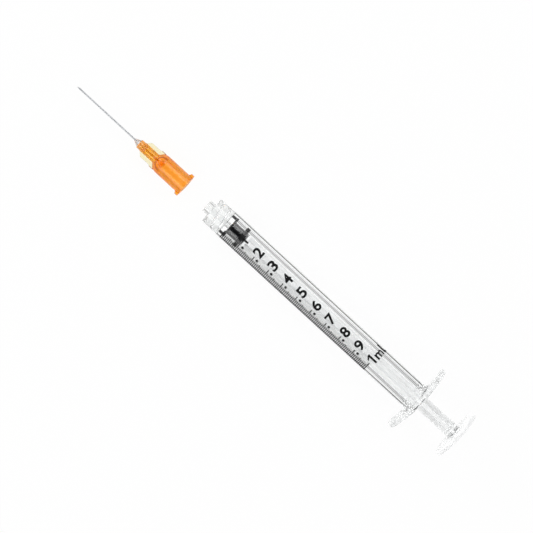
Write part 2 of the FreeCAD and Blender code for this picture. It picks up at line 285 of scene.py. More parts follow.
def capped_grid(points):
    """Vertices and faces of a grid that closes across and shrinks to a pole in its first and last row."""
    body, columns = points[1:-1], points.shape[1]
    index = np.arange(body.shape[0] * columns).reshape(-1, columns)
    across = np.roll(index, -1, axis=1)
    quads = np.stack((index[:-1], across[:-1], across[1:], index[1:]), axis=-1).reshape(-1, 4).tolist()
    first = np.full(columns, body.shape[0] * columns)
    fan = np.stack((first, across[0], index[0]), axis=-1).tolist()
    fan += np.stack((first + 1, index[-1], across[-1]), axis=-1).tolist()
    vertices = np.concatenate((body.reshape(-1, 3), points[:1, 0], points[-1:, 0]))
    return vertices, quads + fan


def swept_bars(rings):
    """Vertices and faces of closed bars. Rings has copies, stations along a bar and corners round it."""
    copies, stations, corners = rings.shape[:3]
    index = np.arange(copies * stations * corners).reshape(copies, stations, corners)
    across = np.roll(index, -1, axis=2)
    sides = np.stack((index[:, :-1], across[:, :-1], across[:, 1:], index[:, 1:]), axis=-1)
    faces = sides.reshape(-1, 4).tolist() + index[:, 0, ::-1].tolist() + index[:, -1].tolist()
    return rings.reshape(-1, 3), faces


def joined(parts):
    """One list of vertices and faces from several."""
    vertices, faces, start = [], [], 0
    for points, polygons in parts:
        vertices.append(points)
        faces += [[start + corner for corner in polygon] for polygon in polygons]
        start += len(points)
    return np.concatenate(vertices), faces


def placed(name, data):
    """A new object in the scene."""
    made = bpy.data.objects.new(name, data)
    bpy.context.scene.collection.objects.link(made)
    return made


def piece(name, surface, placing, material, body, slot, nodes=(), **marks):
    """A finished object from vertices and faces, riding on its body, with its faces turned outwards.

    The piece's own x, y and z go forward, aside and up from the origin that its placing gives. A mark is a
    named value for every vertex, which the material reads.
    """
    points, faces = surface
    origin, side, up = placing
    mesh = bpy.data.meshes.new(name)
    mesh.from_pydata((origin + points @ np.stack((FORWARD, side, up))).tolist(), [], faces)
    mesh.validate()
    work = bmesh.new()
    work.from_mesh(mesh)
    bmesh.ops.recalc_face_normals(work, faces=work.faces[:])
    work.to_mesh(mesh)
    work.free()
    mesh.shade_smooth()
    for mark, values in marks.items():
        mesh.attributes.new(mark, "FLOAT", "POINT").data.foreach_set("value", values.ravel())
    mesh.materials.append(material)
    made = placed(name, mesh)
    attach(made, body)
    if nodes:
        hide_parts(*nodes)
    return made


# Material code

WHITE = (1, 1, 1, 1)
PLASTIC_IOR = 1.49
# Of the orange plastic: what it lets through of red, green and blue, how fast it takes the rest, and how much
# of its walls is milky. Of frosted clear plastic: its roughness, and how much of it is milky.
ABSORBED = (1.0, 0.83, 0.02, 1.0)
ABSORPTION = 0.95 / MM
HAZE = 0.26
FROST = 0.22
MILK = 0.4


def add(tree, kind, inputs=None, **settings):
    """Adds a node, its kind given without ShaderNode. Settings are its attributes.

    Inputs are plain values, other nodes' outputs, or other nodes, of which the first output is taken.
    """
    made = tree.nodes.new("ShaderNode" + kind)
    for name, value in settings.items():
        setattr(made, name, value)
    for name, value in (inputs or {}).items():
        value = value.outputs[0] if isinstance(value, bpy.types.Node) else value
        if isinstance(value, bpy.types.NodeSocket):
            tree.links.new(value, made.inputs[name])
        else:
            made.inputs[name].default_value = value
    return made


def blank_material(name):
    """An empty material and its node tree."""
    made = bpy.data.materials.new(name)
    made.use_nodes = True
    made.node_tree.nodes.clear()
    return made, made.node_tree


def uneven(tree, grain, low, high, stretch=(1, 1, 1)):
    """Noise on the object's own coordinates, with features of the given size, plain and from low to high."""
    place = add(tree, "TexCoord").outputs["Object"]
    mapped = add(tree, "Mapping", {"Vector": place, "Scale": stretch})
    noise = add(tree, "TexNoise", {"Vector": mapped, "Scale": 1 / grain, "Detail": 2.0})
    return noise, add(tree, "MapRange", {"Value": noise, "To Min": low, "To Max": high})


def lit_through(tree, shader):
    """The shader, with light from the lamps and from matt surfaces let straight through to what is behind."""
    rays = add(tree, "LightPath").outputs
    passing = add(tree, "Math", {0: rays["Is Shadow Ray"], 1: rays["Is Diffuse Ray"]}, operation="MAXIMUM")
    window = add(tree, "BsdfTransparent", {"Color": WHITE})
    return add(tree, "MixShader", {0: passing, 1: shader, 2: window})


def clear_polypropylene(colour):
    """Clarified polypropylene, moulded against a polished tool: glass clear, with frosted ends."""
    made, tree = blank_material("clarified_polypropylene_moulded")
    polish = uneven(tree, 3 * MM, 0.0, 0.008, (0.2, 1, 1))[1]
    frost = add(tree, "Attribute", attribute_name="frost").outputs["Fac"]
    rough = add(tree, "Math", {0: frost, 1: FROST, 2: polish}, operation="MULTIPLY_ADD")
    clear = add(tree, "MapRange", {"Value": frost, "To Min": 1.0, "To Max": 1.0 - MILK})
    shader = add(tree, "BsdfPrincipled", {
        "Base Color": (*colour, 1), "IOR": PLASTIC_IOR, "Roughness": rough, "Transmission Weight": clear})
    add(tree, "OutputMaterial", {"Surface": lit_through(tree, shader)})
    return made


def black_rubber(colour):
    """Bromobutyl rubber, moulded and siliconised: black and satin, without gloss where it is pressed."""
    made, tree = blank_material("bromobutyl_rubber_siliconised")
    grain, satin = uneven(tree, 0.12 * MM, 0.12, 0.2)
    pressed = add(tree, "Attribute", attribute_name="pressed").outputs["Fac"]
    rough = add(tree, "Math", {0: pressed, 1: satin}, operation="MAXIMUM")
    bump = add(tree, "Bump", {"Height": grain, "Distance": 0.004 * MM, "Strength": 1.0})
    shader = add(tree, "BsdfPrincipled", {
        "Base Color": (*colour, 1), "IOR": 1.52, "Roughness": rough, "Normal": bump})
    add(tree, "OutputMaterial", {"Surface": shader})
    return made


def white_polypropylene(colour):
    """Natural polypropylene, moulded: milky, with light that spreads a little under its satin skin."""
    made, tree = blank_material("natural_polypropylene_moulded")
    flow, satin = uneven(tree, 2 * MM, 0.26, 0.36, (0.25, 1, 1))
    bump = add(tree, "Bump", {"Height": flow, "Distance": 0.01 * MM, "Strength": 1.0})
    shader = add(tree, "BsdfPrincipled", {
        "Base Color": (*colour, 1), "IOR": PLASTIC_IOR, "Roughness": satin, "Subsurface Weight": 0.5,
        "Subsurface Radius": (1, 1, 1), "Subsurface Scale": 0.4 * MM, "Normal": bump})
    add(tree, "OutputMaterial", {"Surface": shader})
    return made


def orange_polypropylene(colour):
    """Orange tinted polypropylene, moulded: hazy, thin fins nearly clear, thick walls deep orange."""
    made, tree = blank_material("orange_polypropylene_moulded")
    flow, hazy = uneven(tree, 1.5 * MM, 0.16, 0.26, (0.3, 1, 1))
    satin = add(tree, "MapRange", {"Value": flow, "To Min": 0.2, "To Max": 0.3})
    clear = add(tree, "BsdfPrincipled", {
        "Base Color": WHITE, "IOR": PLASTIC_IOR, "Roughness": hazy, "Transmission Weight": 1.0})
    milky = add(tree, "BsdfPrincipled", {"Base Color": (*colour, 1), "IOR": PLASTIC_IOR, "Roughness": satin})
    wall = add(tree, "Attribute", attribute_name="wall").outputs["Fac"]
    haze = add(tree, "Math", {0: wall, 1: HAZE}, operation="MULTIPLY")
    shader = add(tree, "MixShader", {0: haze, 1: clear, 2: milky})
    inside = add(tree, "VolumeAbsorption", {"Color": ABSORBED, "Density": ABSORPTION})
    add(tree, "OutputMaterial", {"Surface": lit_through(tree, shader), "Volume": inside})
    return made


def stainless_steel():
    """Stainless steel, drawn and electropolished: bright, with lines along the tube, as coarse as shows."""
    made, tree = blank_material("stainless_steel_drawn")
    lines = uneven(tree, 0.05 * MM, 0.36, 0.44, (0.02, 1, 1))[1]
    shader = add(tree, "BsdfPrincipled", {
        "Base Color": (*linear("#C2C4C7"), 1), "Metallic": 1.0, "Roughness": lines})
    add(tree, "OutputMaterial", {"Surface": shader})
    return made


def clear_epoxy():
    """Ultraviolet cured epoxy: clear and a little hazy."""
    made, tree = blank_material("clear_epoxy_cured")
    skin, hazy = uneven(tree, 0.8 * MM, 0.25, 0.35)
    bump = add(tree, "Bump", {"Height": skin, "Distance": 0.02 * MM, "Strength": 1.0})
    shader = add(tree, "BsdfPrincipled", {
        "Base Color": (*linear("#FBFDFF"), 1), "IOR": 1.54, "Roughness": hazy, "Transmission Weight": 1.0,
        "Normal": bump})
    add(tree, "OutputMaterial", {"Surface": lit_through(tree, shader)})
    return made


def black_ink(colour):
    """Pad printed ink: black and matt, a little uneven."""
    made, tree = blank_material("black_ink_pad_printed")
    matt = uneven(tree, 0.15 * MM, 0.6, 0.8)[1]
    shader = add(tree, "BsdfPrincipled", {
        "Base Color": (*colour, 1), "Specular IOR Level": 0.15, "Roughness": matt})
    add(tree, "OutputMaterial", {"Surface": shader})
    return made


# Places along the syringe and the needle, with leads and roundings too small to be settings

MOUTH_LEAD = 0.45 * MM
BORE_CORNER = 0.2 * MM
RIDGE_INSET = 4.0 * MM
RIDGE_HEIGHT = 0.1 * MM
RIDGE_WIDTH = 0.8 * MM
FRONT_LEAD = 0.02 * MM
COLLAR_LEAD = 0.12 * MM
COLLAR_RIM_ROUND = 0.08 * MM
COLLAR_FLOOR_ROUND = 0.1 * MM
TIP_ROUND = 0.25 * MM
CONE_TAPER = 0.06
# How frosted the front is, and the flange where it leaves the tube, and how far out it is fully frosted.
FRONT_FROST = 0.75
ROOT_FROST = 0.3
CLEAR_ROOT = 2.5 * MM


def cone_radius(end_diameter, distance):
    """Radius of a locking cone, at a distance from the end with the given diameter."""
    return end_diameter / 2 + CONE_TAPER * distance / 2


def tip_front(barrel):
    """Where the barrel's cone ends."""
    return barrel.end_wall + barrel.collar_depth + barrel.tip_reach


def flange_front(barrel):
    """Where the finger flange begins."""
    return -(barrel.scale_length + barrel.past_scale)


def syringe_origin(barrel):
    """The closed end of the bore in the row frame, found back from the cone's end."""
    return MOUNTS["luer_cone"] - FORWARD * tip_front(barrel)


def barrel_placing(barrel):
    """The barrel's frame: rolled on one wing."""
    return syringe_origin(barrel), ROLLED_SIDE, ROLLED_UP


def level_placing(barrel):
    """The stopper's and the rod's frame."""
    return syringe_origin(barrel), SIDE, UP


def needle_placing(barrel, needle):
    """The needle's frame: in line with the syringe, its hub's rear face past the collar."""
    start = barrel.end_wall + barrel.collar_depth + needle.gap
    return syringe_origin(barrel) + FORWARD * start, SIDE, UP


def wing_radius(barrel, angles, inset):
    """Distance from the axis to the flange's outline, in the directions given.

    Near a wing it is the far side of the circle of radius e about c: c cos(a) + sqrt(e^2 - c^2 sin(a)^2).
    Then it is the tangent, m / cos(a - lean), and across the middle the circle of radius m. The lean's cosine
    is (m - e) / c.
    """
    middle, end = barrel.flange_middle_r - inset, barrel.flange_end_r - inset
    centre = barrel.flange_span / 2 - barrel.flange_end_r
    lean = math.acos((middle - end) / centre)
    tangent = math.atan2(end * math.sin(lean), centre + end * math.cos(lean))
    fold = np.abs((angles + math.pi / 2) % math.pi - math.pi / 2)
    wing = centre * np.cos(fold) + np.sqrt(np.maximum(end ** 2 - (centre * np.sin(fold)) ** 2, 0))
    straight = middle / np.cos(fold - lean)
    return np.where(fold < tangent, wing, np.where(fold < lean, straight, middle))


def swept_forward(barrel, points):
    """Rows of the flange, swept forwards like a shallow arc: x + R - sqrt(R^2 - y^2).

    R is (half span^2 + sweep^2) / (2 sweep) in the front face and grows with the depth behind it. The sweep
    sets in across the flare, so that the tube stays straight.
    """
    half = barrel.flange_span / 2
    bend = (half ** 2 + barrel.wing_sweep ** 2) / (2 * barrel.wing_sweep)
    x, y, z = np.moveaxis(points, -1, 0)
    bend = bend + flange_front(barrel) - x
    share = smooth_step((np.hypot(y, z) - barrel.outside / 2) / barrel.flare_r)
    return np.stack((x + share * (bend - np.sqrt(bend ** 2 - y ** 2)), y, z), axis=-1)


def smooth_step(value):
    """0 below 0, 1 above 1, and 3v^2 - 2v^3 between."""
    value = np.clip(value, 0, 1)
    return value * value * (3 - 2 * value)


# The width of a crest at its base and top, the length of its run-out, and where the seated needle's lugs lie.
THREAD_BASE = 0.7 * MM
THREAD_TOP = 0.3 * MM
THREAD_RUN_OUT = 0.5 * MM
SEATED_LUG = 4.9 * MM


def thread_rise(barrel, x, angles):
    """How far the lock thread stands in, at x and an angle.

    A crest is a right-hand helix, x = lead * angle / 360 degrees, and the starts share the lead evenly. Its
    section is a smoothed trapezoid, and it runs out before both ends of the collar. It leaves its groove
    free where the needle's lugs seat.
    """
    lead = barrel.thread_pitch * barrel.thread_starts
    helix = x - SEATED_LUG - lead * (angles - ROLL) / (2 * math.pi)
    distance = np.abs(helix % barrel.thread_pitch - barrel.thread_pitch / 2)
    crest = smooth_step((THREAD_BASE / 2 - distance) / (THREAD_BASE / 2 - THREAD_TOP / 2))
    rear = smooth_step((x - barrel.end_wall - COLLAR_FLOOR_ROUND) / THREAD_RUN_OUT)
    front = smooth_step((barrel.end_wall + barrel.collar_depth - COLLAR_LEAD - x) / THREAD_RUN_OUT)
    return barrel.thread_height * crest * rear * front


BARREL_TURN = 256
COLLAR_SPACING = 0.5 * MM
TUBE_SPACING = 3 * MM
THREAD_STEP = 0.06 * MM
ROUND_STEPS = 6
FLARE_SHARE = 0.8
# Where rows lie across the flange's front face, its edge and its rear face, as shares of the way.
FRONT_ROWS = np.array([0.05, 0.35, 0.7, 0.97])[:, None]
EDGE_ROWS = np.array([0.03, 0.5, 0.97])[:, None]
REAR_ROWS = np.array([0.97, 0.6, 0.3])[:, None]


def collar_rows(barrel, angles):
    """Rows from the lumen's middle round cone and threaded collar, and along the tube to the flare."""
    lumen_r, root_r, collar_r = barrel.lumen / 2, barrel.collar_bore / 2, barrel.collar_outside / 2
    floor, tip, tube_r = barrel.end_wall, tip_front(barrel), barrel.outside / 2
    front = floor + barrel.collar_depth
    thread_from, thread_to = floor + 1.5 * COLLAR_FLOOR_ROUND, front - 2 * COLLAR_LEAD
    x = np.arange(thread_from + THREAD_STEP, thread_to, THREAD_STEP)[:, None]
    return np.concatenate((
        lathed([(tip / 2, lumen_r), (tip, lumen_r), (tip, barrel.tip_end / 2, TIP_ROUND),
                (floor, cone_radius(barrel.tip_end, tip - floor), COLLAR_FLOOR_ROUND),
                (floor, root_r, COLLAR_FLOOR_ROUND), (thread_from, root_r)], angles, COLLAR_SPACING),
        about_axis(x, root_r - thread_rise(barrel, x, angles), angles),
        lathed([(thread_to, root_r), (front - COLLAR_LEAD, root_r), (front, root_r + COLLAR_LEAD),
                (front, collar_r, COLLAR_RIM_ROUND), (floor, collar_r), (floor - FRONT_LEAD, tube_r),
                (flange_front(barrel) + barrel.flare_r, tube_r)], angles, TUBE_SPACING)))


def flange_rows(barrel, angles, foot_r):
    """Rows from the flare over the flange's front face, its edge and its rear face to the mouth's foot."""
    front, tube_r, edge = flange_front(barrel), barrel.outside / 2, barrel.flange_round
    rear = front - barrel.flange_thickness
    inner, outer = wing_radius(barrel, angles, edge), wing_radius(barrel, angles, 0.0)
    bend = np.linspace(0, math.pi / 2, ROUND_STEPS + 1)[:, None]
    flare_bend = np.linspace(0, math.pi / 2, 2 * ROUND_STEPS + 1)[1:, None]
    flare = np.minimum(barrel.flare_r, FLARE_SHARE * (inner - tube_r))
    root = tube_r + flare
    rim = inner + (outer - inner) * np.sin(bend)
    rows = [(front + barrel.flare_r * (1 - np.sin(flare_bend)), tube_r + flare * (1 - np.cos(flare_bend))),
            (front, root + FRONT_ROWS * (inner - root)),
            (front - edge * (1 - np.cos(bend)), rim),
            (front - edge - EDGE_ROWS * (barrel.flange_thickness - 2 * edge), outer[None]),
            (rear + edge * (1 - np.cos(bend[::-1])), rim[::-1]),
            (rear, foot_r + REAR_ROWS * (inner - foot_r))]
    return swept_forward(barrel, np.concatenate([about_axis(x, radius, angles) for x, radius in rows]))


def barrel_surface(barrel):
    """The barrel's whole skin as one grid of rows along its section and angles about its axis.

    The section runs from the lumen round the cone, the threaded collar, the tube, the flange and back through
    the bore. In the flange the radius follows the winged outline, and in the collar the thread is taken off.
    The second value returned marks the frosted parts: flange, cone, lumen and the collar's inside.
    """
    angles = even_turn(BARREL_TURN)
    lumen_r, bore_r, tube_r = barrel.lumen / 2, barrel.bore / 2, barrel.outside / 2
    mouth_r = bore_r + MOUTH_LEAD
    foot_r = mouth_r + MOUTH_LEAD
    rear = flange_front(barrel) - barrel.flange_thickness
    ridge = rear + RIDGE_INSET
    collar, flange = collar_rows(barrel, angles), flange_rows(barrel, angles, foot_r)
    bore = lathed([
        (rear, foot_r), (rear, mouth_r), (rear + MOUTH_LEAD, bore_r), (ridge - RIDGE_WIDTH / 2, bore_r),
        (ridge, bore_r - RIDGE_HEIGHT), (ridge + RIDGE_WIDTH / 2, bore_r), (0, bore_r, BORE_CORNER),
        (0, lumen_r), (tip_front(barrel) / 2, lumen_r)], angles, TUBE_SPACING)[:-1]
    points = np.concatenate((collar, flange, bore))
    along, reach = points[..., 0], np.hypot(points[..., 1], points[..., 2])
    behind, inside_r = barrel.end_wall - COLLAR_FLOOR_ROUND, barrel.collar_outside / 2 - COLLAR_LEAD
    in_collar = (along > behind) & (reach < inside_r)
    in_lumen = (along > COLLAR_FLOOR_ROUND) & (reach < bore_r / 2)
    frost = np.where(in_collar | in_lumen, FRONT_FROST, 0.0)
    wings = slice(len(collar), len(collar) + len(flange))
    frost[wings] = np.clip((reach[wings] - tube_r) / CLEAR_ROOT, ROOT_FROST, 1.0)
    return closed_grid(points), frost


class SYRINGE_OT_barrel(Operator):
    """Make the clear barrel with its cone, threaded collar and finger flange"""
    bl_idname = "syringe.barrel"
    bl_label = "Barrel"

    def execute(self, context):
        barrel = context.scene.syringe_barrel
        surface, frost = barrel_surface(barrel)
        piece("clear_barrel", surface, barrel_placing(barrel), clear_polypropylene(barrel.colour),
              "barrel", "clear_polypropylene", ["barrel"], frost=frost)
        return {"FINISHED"}


STOPPER_TURN = 128
RING_ROUND = 0.15 * MM
HEAD_NECK_LENGTH = 1.3 * MM
HEAD_NECK_D = 1.3 * MM
HEAD_LENGTH = 0.9 * MM
HEAD_D = 1.9 * MM
HEAD_PLAY = 0.1 * MM
HEAD_ROUND = 0.25 * MM
PRESSED_ROUGHNESS = 0.9


def stopper_rear(stopper):
    """Where the stopper's boss ends."""
    return -(stopper.gap + stopper.front_ring + stopper.neck + stopper.rear_ring + stopper.boss)


def stopper_surface(barrel, stopper):
    """Two sealing rings on a neck, a boss, and the pocket that holds the rod's head, as a turned section.

    The second value returned is the roughness of the crests that are pressed against the bore.
    """
    ring_r = barrel.bore / 2 + stopper.press
    neck_r, boss_r = stopper.neck_d / 2, stopper.boss_d / 2
    front = -stopper.gap
    ring_back = front - stopper.front_ring
    ring_again = ring_back - stopper.neck
    boss = ring_again - stopper.rear_ring
    rear = stopper_rear(stopper)
    hole_r, pocket_r = HEAD_NECK_D / 2 + HEAD_PLAY, HEAD_D / 2 + HEAD_PLAY
    pocket_back = rear + HEAD_NECK_LENGTH - HEAD_PLAY
    pocket_front = rear + HEAD_NECK_LENGTH + HEAD_LENGTH + HEAD_PLAY
    points, faces = capped_grid(lathed([
        (front, 0), (front, ring_r, RING_ROUND), (ring_back, ring_r, RING_ROUND),
        (ring_back, neck_r, RING_ROUND), (ring_again, neck_r, RING_ROUND), (ring_again, ring_r, RING_ROUND),
        (boss, ring_r, RING_ROUND), (boss, boss_r), (rear, boss_r, RING_ROUND), (rear, hole_r),
        (pocket_back, hole_r), (pocket_back, pocket_r), (pocket_front, pocket_r, HEAD_ROUND),
        (pocket_front, 0)], even_turn(STOPPER_TURN)))
    pressed = np.where(np.hypot(points[:, 1], points[:, 2]) > ring_r - RING_ROUND, PRESSED_ROUGHNESS, 0.0)
    return (points, faces), pressed


class SYRINGE_OT_stopper(Operator):
    """Make the black rubber stopper"""
    bl_idname = "syringe.stopper"
    bl_label = "Stopper"

    def execute(self, context):
        barrel, stopper = context.scene.syringe_barrel, context.scene.syringe_stopper
        surface, pressed = stopper_surface(barrel, stopper)
        piece("rubber_stopper", surface, level_placing(barrel), black_rubber(stopper.colour),
              "stopper", "black_rubber", ["stopper"], pressed=pressed)
        return {"FINISHED"}


RIB_CORNER = 0.08 * MM
RIB_FILLET = 0.2 * MM
DISC_EDGE = 0.06 * MM
RIB_WALL_STEP = 2.0 * DEGREE
RIB_STEPS = 5
# Where rows lie on a disc's face, from its rim to the cross, and how many there are along the shaft's parts.
DISC_ROWS = np.array([0.98, 0.5, 0.02])[:, None]
SHAFT_ROWS = 24
STUB_ROWS = 3


def cross_outline(rod_r, rib):
    """Angles and radii of the rod's cross section, a quarter mirrored and turned four times.

    Over a rib's end the radius is constant. Its side is the line at half the rib's thickness t from the axis
    of the rib, radius = t / sin(angle), and the fillet in the inner corner is an arc.
    """
    t = rib / 2
    edge = math.asin(t / rod_r)
    over_end = np.linspace(0, edge - RIB_CORNER / rod_r, RIB_STEPS)
    corner = rounded_run([(rod_r * math.cos(over_end[-1]), rod_r * math.sin(over_end[-1])),
                          (math.sqrt(rod_r ** 2 - t ** 2), t, RIB_CORNER / 2), (t + 2 * RIB_FILLET, t)],
                         rod_r)
    corner_angles = np.arctan2(corner[:, 1], corner[:, 0])
    fillet = np.linspace(0, math.pi / 4, RIB_STEPS)
    fillet_x = t + RIB_FILLET - RIB_FILLET * np.sin(fillet)
    fillet_y = t + RIB_FILLET - RIB_FILLET * np.cos(fillet)
    fillet_angles = np.arctan2(fillet_y, fillet_x)
    side = np.arange(corner_angles[-2] + RIB_WALL_STEP, fillet_angles[0], RIB_WALL_STEP)
    angles = np.concatenate((over_end[:-1], corner_angles[:-1], side, fillet_angles))
    radii = np.concatenate((np.full(RIB_STEPS - 1, rod_r), np.hypot(*corner[:-1].T), t / np.sin(side),
                            np.hypot(fillet_x, fillet_y)))
    order = np.argsort(angles)
    angles, radii = angles[order], radii[order]
    quarter = np.concatenate((angles, math.pi / 2 - angles[-2:0:-1]))
    quarter_radii = np.concatenate((radii, radii[-2:0:-1]))
    turns = np.arange(4)[:, None] * (math.pi / 2)
    return (turns + quarter).ravel(), np.tile(quarter_radii, 4)


def rod_surface(barrel, stopper, rod):
    """The rod's skin as one grid: head, front disc, cross-shaped shaft, end disc and thumb rest.

    Where the section is round, all angles share the row's radius. Along the shaft they follow the cross.
    """
    rod_r = barrel.bore / 2 - rod.play
    angles, cross = cross_outline(rod_r, rod.rib)
    disc_front = stopper_rear(stopper) - stopper.gap
    disc_back = disc_front - rod.front_disc
    neck_end = stopper_rear(stopper) + HEAD_NECK_LENGTH
    thumb_front = flange_front(barrel) - barrel.flange_thickness - rod.showing
    thumb_rear = thumb_front - rod.thumb_thickness
    thumb_r = rod.thumb_d / 2
    disc_rear = thumb_front + rod.end_disc_gap
    disc_fore = disc_rear + rod.end_disc
    inner_r = rod_r - DISC_EDGE
    flat = cross + DISC_ROWS * (inner_r - cross)

    def shaft(start, end, count):
        """Rows of the cross between two discs, with rows across the discs' faces before and behind it."""
        return [about_axis(start, flat, angles),
                about_axis(np.linspace(start, end, count)[:, None], cross[None], angles),
                about_axis(end, flat[::-1], angles)]

    head = lathed([
        (neck_end + HEAD_LENGTH, 0), (neck_end + HEAD_LENGTH, HEAD_D / 2, HEAD_ROUND), (neck_end, HEAD_D / 2),
        (neck_end, HEAD_NECK_D / 2), (disc_front, HEAD_NECK_D / 2), (disc_front, rod_r, DISC_EDGE),
        (disc_back, rod_r, DISC_EDGE), (disc_back, inner_r)], angles)
    end_disc = lathed([(disc_fore, inner_r), (disc_fore, rod_r, DISC_EDGE),
                       (disc_rear, rod_r, DISC_EDGE), (disc_rear, inner_r)], angles)
    thumb = lathed([(thumb_front, inner_r), (thumb_front, thumb_r, rod.thumb_round),
                    (thumb_rear, thumb_r, rod.thumb_round), (thumb_rear, 0)], angles)
    rows = [head, *shaft(disc_back, disc_fore, SHAFT_ROWS), end_disc,
            *shaft(disc_rear, thumb_front, STUB_ROWS), thumb]
    return capped_grid(np.concatenate(rows))


class SYRINGE_OT_rod(Operator):
    """Make the white plunger rod with its thumb rest"""
    bl_idname = "syringe.rod"
    bl_label = "Plunger rod"

    def execute(self, context):
        barrel, stopper = context.scene.syringe_barrel, context.scene.syringe_stopper
        rod = context.scene.syringe_rod
        piece("cross_ribbed_rod", rod_surface(barrel, stopper, rod), level_placing(barrel),
              white_polypropylene(rod.colour), "plunger", "white_polypropylene", ["plunger_rod"])
        return {"FINISHED"}


HUB_TURN = 400
HUB_STEP = 0.14 * MM
HUB_ARC_STEPS = 12
SOCKET_LEAD = 0.15 * MM
RIM_ROUND = 0.15 * MM
SHOULDER_SLOPE = math.tan(47 * DEGREE)
NOSE_ROOT_ROUND = 0.4 * MM
NOSE_ROUND = 0.12 * MM
CANNULA_PLAY = 0.02 * MM
FIN_COUNT = 4
FIN_STEP_LENGTH = 0.8 * MM
FIN_SETBACK = 1.4 * MM
FIN_RAMP = 1.35 * MM
FIN_SUNK = 0.35 * MM
LUG_COUNT = 2
LEAST_ANGLE = 1e-6


def rib_radius(angles, count, half_thickness):
    """Distance from the axis to the sides of evenly spaced flat ribs: half thickness / |sin(angle)|."""
    spread = 2 * math.pi / count
    fold = np.abs((angles + spread / 2) % spread - spread / 2)
    return half_thickness / np.sin(np.maximum(fold, LEAST_ANGLE))


def hub_surface(needle):
    """The hub's skin as one grid: a turned section, with the radius raised where fins and lugs stand on it.

    The second value returned marks the walls, as against the thin fins.
    """
    angles = even_turn(HUB_TURN)
    mouth_r, rim_r, body_r, nose_r = needle.mouth / 2, needle.rim_d / 2, needle.body_d / 2, needle.nose_d / 2
    root = needle.body_length + (body_r - nose_r) / SHOULDER_SLOPE
    front, depth = needle.length, needle.socket_depth
    bore_r, well_r = needle.cannula_d / 2 + CANNULA_PLAY, needle.well_d / 2
    well_floor = front - needle.well_depth
    mid_socket = (depth / 2, cone_radius(needle.mouth, -depth / 2))
    outside = rounded_run([
        (0, mouth_r + 2 * SOCKET_LEAD), (0, rim_r, RIM_ROUND), (needle.rim_thickness, rim_r, RIM_ROUND),
        (needle.rim_thickness, body_r), (needle.body_length, body_r, needle.shoulder_r),
        (root, nose_r, NOSE_ROOT_ROUND), (front, nose_r, NOSE_ROUND), (front, well_r + NOSE_ROUND)],
        HUB_STEP, HUB_ARC_STEPS)
    x = outside[:, :1]
    edge_x = [depth, root - FIN_STEP_LENGTH, root, root + FIN_STEP_LENGTH / 2,
              front - FIN_SETBACK - FIN_RAMP, front - FIN_SETBACK]
    edge_r = [body_r - FIN_SUNK, needle.fin_step_r, needle.fin_step_r, needle.fin_r, needle.fin_r, nose_r]
    fins = np.minimum(np.interp(x, edge_x, edge_r, left=0, right=0),
                      rib_radius(angles, FIN_COUNT, needle.fin_thickness / 2))
    on_lug = (x > RIM_ROUND / 2) & (x < needle.lug_thickness)
    lugs = np.where(on_lug, np.minimum(needle.lug_span / 2,
                                       rib_radius(angles, LUG_COUNT, needle.lug_width / 2)), 0)
    skin = np.maximum(outside[:, 1:], np.maximum(fins, lugs))
    inside = lathed([
        (front, well_r + NOSE_ROUND), (front, well_r), (well_floor, well_r), (well_floor, bore_r),
        (depth + needle.socket_funnel, bore_r), (depth, cone_radius(needle.mouth, -depth), BORE_CORNER),
        mid_socket, (SOCKET_LEAD, cone_radius(needle.mouth, -SOCKET_LEAD)), (0, mouth_r + SOCKET_LEAD),
        (0, mouth_r + 2 * SOCKET_LEAD)], angles)[1:-1]
    points = np.concatenate((about_axis(x, skin, angles), inside))
    wall = np.ones(points.shape[:2])
    wall[:len(x)] = fins <= outside[:, 1:]
    return closed_grid(points), wall


CANNULA_TURN = 64
# Slopes of the main plane and of the two side planes, the turn of the side ones, and how deep they cut.
BEVEL = 14 * DEGREE
LANCET = 19 * DEGREE
LANCET_TURN = 38 * DEGREE
LANCET_SHARE = 0.5
TUBE_ROWS = np.array([0, 0.001, 0.5, 0.9, 0.999, 1])[:, None]
CUT_CREASE = 30 * DEGREE


def ground_end(tip, outer_r, radius, angles):
    """Where the tube's wall ends, at a radius and in each direction: the nearest of three ground planes.

    A plane slopes by its angle from the axis, and the side ones are also turned about it. On each of them
    x = tip - (height + offset) / tan(slope), with the height taken square to the plane's own base line.
    """
    ends = []
    for slope, turn, share in ((BEVEL, 0, 0), (LANCET, LANCET_TURN, LANCET_SHARE),
                               (LANCET, -LANCET_TURN, LANCET_SHARE)):
        lift = share * outer_r * (1 - math.cos(turn))
        y, z = radius * np.cos(angles), radius * np.sin(angles) + outer_r - lift
        height = z * math.cos(turn) - y * math.sin(turn)
        ends.append(tip - height / math.tan(slope))
    return np.minimum.reduce(ends)


def cannula_surface(needle):
    """The steel tube as one grid: its outer wall out to the ground point and its bore back."""
    angles = even_turn(CANNULA_TURN)
    tip = needle.length + needle.showing
    rear = needle.socket_depth + needle.socket_funnel
    outer_r, bore_r = needle.cannula_d / 2, needle.cannula_bore / 2
    walls = []
    for radius, rows in ((outer_r, TUBE_ROWS), (bore_r, TUBE_ROWS[::-1])):
        end = np.minimum(ground_end(tip, outer_r, radius, angles), tip)
        walls.append(about_axis(rear + rows * (end - rear), radius, angles))
    return closed_grid(np.concatenate(walls))


GLUE_PLAY = 0.005 * MM
GLUE_ROUND = 0.2 * MM
GLUE_SPACING = 0.3 * MM


